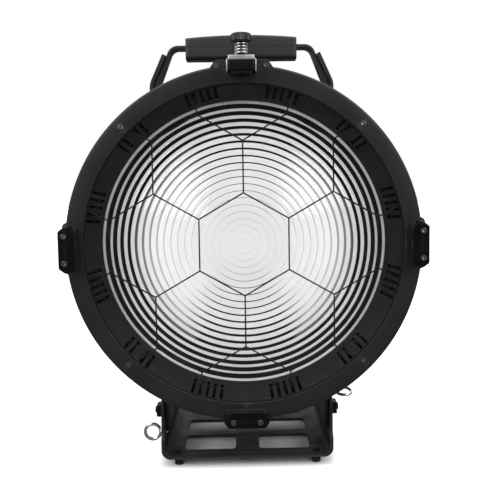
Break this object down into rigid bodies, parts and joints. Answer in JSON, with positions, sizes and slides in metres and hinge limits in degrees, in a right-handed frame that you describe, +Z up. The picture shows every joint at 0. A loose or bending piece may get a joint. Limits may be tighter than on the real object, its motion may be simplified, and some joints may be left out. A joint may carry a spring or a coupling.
{
  "type": "fresnel spotlight",
  "caption": "Round fresnel spotlight with a grooved glass lens behind a wire guard, accessory ears, spring latch, carry handle and a tilting slotted cradle.",
  "frame": {"origin": "middle of the footprint of the whole object, on the plane of the feet", "axes": "+Z up, -Y the way the lens looks, +X to the right as seen from the front"},
  "size_m": [0.435, 0.335, 0.5508],
  "materials": {
    "ring": "satin black paint",
    "bezel": "matte black paint",
    "gloss_black": "gloss black paint",
    "frame_paint": "fine satin charcoal paint",
    "grip": "moulded plastic",
    "rubber": "matte",
    "nickel": "polished nickel",
    "steel": "plain",
    "dark_steel": "blackened",
    "aluminium": "satin",
    "glass": "clear, stepped",
    "silver": "polished reflector",
    "diffuser": "frosted",
    "phosphor": "emitter",
    "moulding": "moulded plastic"
  },
  "bodies": {
    "cradle": {"cradle_frame": "frame_paint", "foot_front_left": "rubber", "foot_front_right": "rubber", "foot_rear_left": "rubber", "foot_rear_right": "rubber", "pivot_hub_left": "gloss_black", "pivot_hub_right": "gloss_black"},
    "head": {"front_ring": "ring", "bezel": "bezel", "fresnel_lens": "glass", "lens_gasket": "rubber", "lens_retainer": "moulding", "wire_guard": "gloss_black", "ear_left": "gloss_black", "ear_right": "gloss_black", "ear_bottom": "gloss_black", "latch_block": "gloss_black", "latch_plate": "aluminium", "latch_spring": "nickel", "barrel": "ring", "rear_cover": "ring", "rear_grille": "frame_paint", "power_inlet": "moulding", "switch_frame": "moulding", "dimmer_spindle": "steel", "fan_frame": "moulding", "guide_rod_left": "steel", "guide_rod_right": "steel", "rod_bracket_left": "aluminium", "rod_bracket_right": "aluminium", "rear_bulkhead": "aluminium", "focus_bush": "steel", "driver_box": "aluminium", "handle_strap": "frame_paint", "handle_bracket_left": "frame_paint", "handle_bracket_right": "frame_paint", "grip_upper": "grip", "grip_lower": "grip", "tilt_cheek_left": "frame_paint", "tilt_cheek_right": "frame_paint", "ring_screw_1": "dark_steel", "ring_screw_2": "dark_steel", "ring_screw_3": "dark_steel", "ring_screw_4": "dark_steel"},
    "carriage": {"carriage_plate": "aluminium", "heat_sink": "aluminium", "led_board": "diffuser", "led_emitter": "phosphor", "reflector": "silver", "diffuser": "diffuser", "gear_rack": "steel"},
    "focus_drive": {"focus_pinion": "steel", "focus_knob": "moulding"},
    "fan": {"fan_rotor": "moulding"},
    "latch": {"latch_rod": "steel", "latch_knob": "dark_steel"},
    "eye_left": {"eye_bolt_left": "nickel"},
    "eye_right": {"eye_bolt_right": "nickel"},
    "dimmer": {"dimmer_knob": "gloss_black"},
    "switch": {"power_switch": "gloss_black"}
  },
  "joints": [
    {"name": "head_tilt", "type": "hinge", "parent": "cradle", "child": "head", "pos_m": [0, -0.068, 0.056], "axis": [1, 0, 0], "range_deg": [-18, 8]},
    {"name": "carriage_slide", "type": "slide", "parent": "head", "child": "carriage", "axis": [0, 1, 0], "range_m": [-0.03, 0.04]},
    {"name": "focus_turn", "type": "hinge", "parent": "head", "child": "focus_drive", "pos_m": [0, 0.029, 0.284], "axis": [1, 0, 0], "range_deg": [-166, 220]},
    {"name": "fan_spin", "type": "hinge", "parent": "head", "child": "fan", "pos_m": [0, 0.134, 0.284], "axis": [0, 1, 0], "continuous": true},
    {"name": "latch_press", "type": "slide", "parent": "head", "child": "latch", "axis": [0, 0, 1], "range_m": [-0.006, 0], "stiffness_N_per_m": 2000, "springref_m": 0.002, "deforming": ["latch_spring"]},
    {"name": "eye_left_turn", "type": "hinge", "parent": "head", "child": "eye_left", "pos_m": [0, -0.08807, 0.03371], "axis": [1, 0, 0], "continuous": true},
    {"name": "eye_right_turn", "type": "hinge", "parent": "head", "child": "eye_right", "pos_m": [0, -0.03963, 0.06577], "axis": [1, 0, 0], "continuous": true},
    {"name": "dimmer_turn", "type": "hinge", "parent": "head", "child": "dimmer", "pos_m": [0.05, 0.154, 0.169], "axis": [0, 1, 0], "range_deg": [-135, 135]},
    {"name": "switch_rock", "type": "hinge", "parent": "head", "child": "switch", "pos_m": [0, 0.154, 0.169], "axis": [1, 0, 0], "range_deg": [0, 10.6]}
  ],
  "couplings": [
    {"joint": "focus_turn", "follows": "carriage_slide", "rad_per_m": 95.238}
  ]
}
